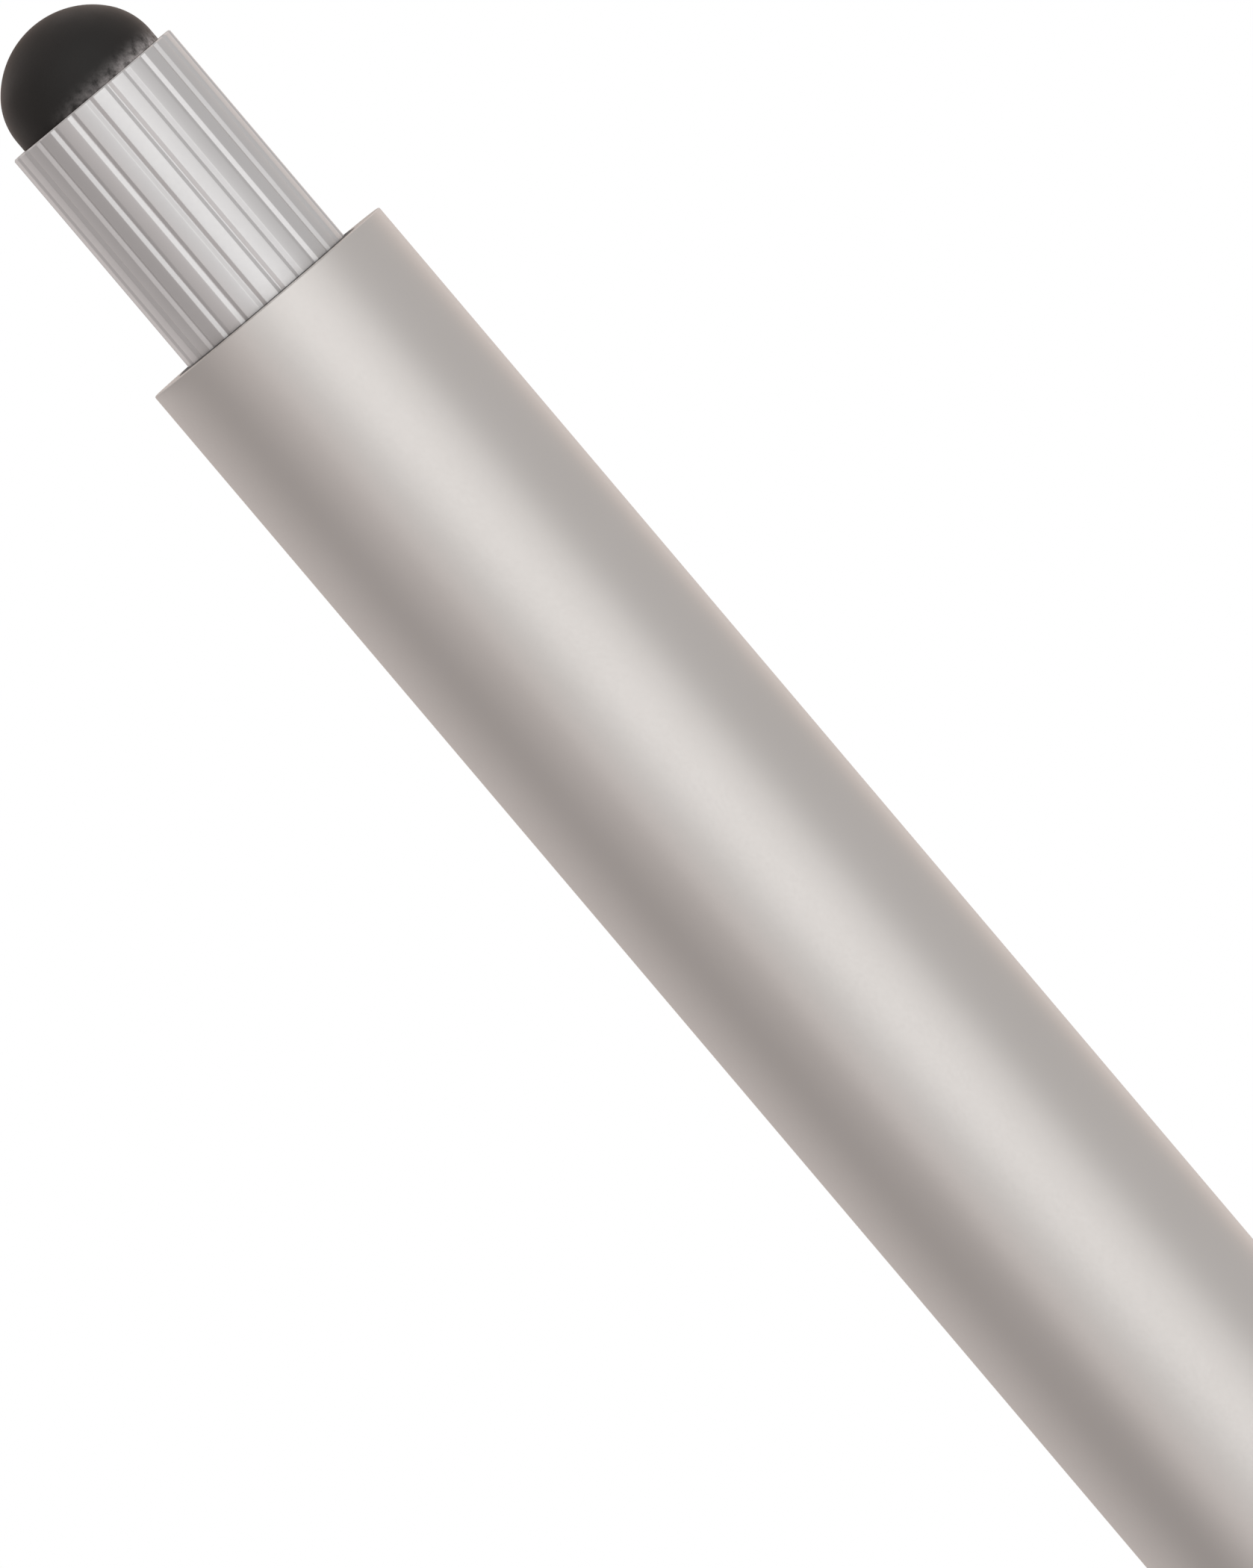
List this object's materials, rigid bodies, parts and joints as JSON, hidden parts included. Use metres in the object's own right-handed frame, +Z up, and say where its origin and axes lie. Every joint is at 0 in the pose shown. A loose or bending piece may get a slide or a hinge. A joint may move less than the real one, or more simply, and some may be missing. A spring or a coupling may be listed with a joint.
{
  "type": "stylus pen",
  "caption": "Retractable ballpoint pen with a stylus dome on its fluted push button, a plain satin barrel, a pocket clip on one side and a front section that unscrews.",
  "frame": {"origin": "on the pen's axis, where the front barrel begins", "axes": "+X along the pen's axis towards the writing point, +Z up from the table it lies on"},
  "size_m": [0.1389, 0.0128, 0.0104],
  "materials": {
    "barrel_satin": "satin blasted and anodised warm silver",
    "button_silver": "satin turned silver",
    "stylus_black": "matte conductive silicone",
    "clip_steel": "satin nickel",
    "spring_steel": "bright drawn wire",
    "post_brass": "turned",
    "mechanism_plastic": "natural moulded acetal",
    "liner_plastic": "black moulded plastic",
    "tube_plastic": "clear extruded tube",
    "ink_blue": "blue ink",
    "point_nickel": "turned nickel silver",
    "ball_carbide": "polished carbide"
  },
  "bodies": {
    "barrel": {"rear_barrel": "barrel_satin", "guide_collar": "liner_plastic", "cam_sleeve": "mechanism_plastic", "coupling_bush": "post_brass"},
    "button": {"push_button": "button_silver", "stylus_tip": "stylus_black", "stylus_post": "post_brass", "plunger": "mechanism_plastic"},
    "refill": {"rotor": "mechanism_plastic", "refill_tube": "tube_plastic", "refill_plug": "liner_plastic", "ink_column": "ink_blue", "point_body": "point_nickel"},
    "ball": {"writing_ball": "ball_carbide"},
    "clip": {"clip": "clip_steel"},
    "ring": {"trim_ring": "button_silver"},
    "front": {"front_barrel": "barrel_satin", "front_liner": "liner_plastic", "nose_cone": "button_silver", "return_spring": "spring_steel"}
  },
  "joints": [
    {"name": "button_press", "type": "slide", "parent": "barrel", "child": "button", "axis": [1, 0, 0], "range_m": [0, 0.0056], "stiffness_N_per_m": 300, "springref_m": -0.002},
    {"name": "refill_advance", "type": "slide", "parent": "barrel", "child": "refill", "axis": [1, 0, 0], "range_m": [0, 0.0056], "deforming": ["return_spring"]},
    {"name": "ball_roll", "type": "hinge", "parent": "refill", "child": "ball", "pos_m": [0.0557, 0, 0], "axis": [0, 1, 0], "continuous": true},
    {"name": "clip_flex", "type": "hinge", "parent": "barrel", "child": "clip", "pos_m": [-0.0575, 0.00434, -0.00221], "axis": [0, 0.4545, 0.8908], "range_deg": [0, 3], "stiffness_Nm_per_rad": 1.5},
    {"name": "ring_travel", "type": "slide", "parent": "barrel", "child": "ring", "axis": [1, 0, 0], "range_m": [0, 0.008]},
    {"name": "front_unscrew", "type": "hinge", "parent": "ring", "child": "front", "pos_m": [0, 0, 0], "axis": [1, 0, 0], "range_deg": [0, 2880]}
  ],
  "couplings": [
    {"joint": "refill_advance", "follows": "button_press", "ratio": 1},
    {"joint": "front_unscrew", "follows": "ring_travel", "rad_per_m": 6283.2}
  ]
}
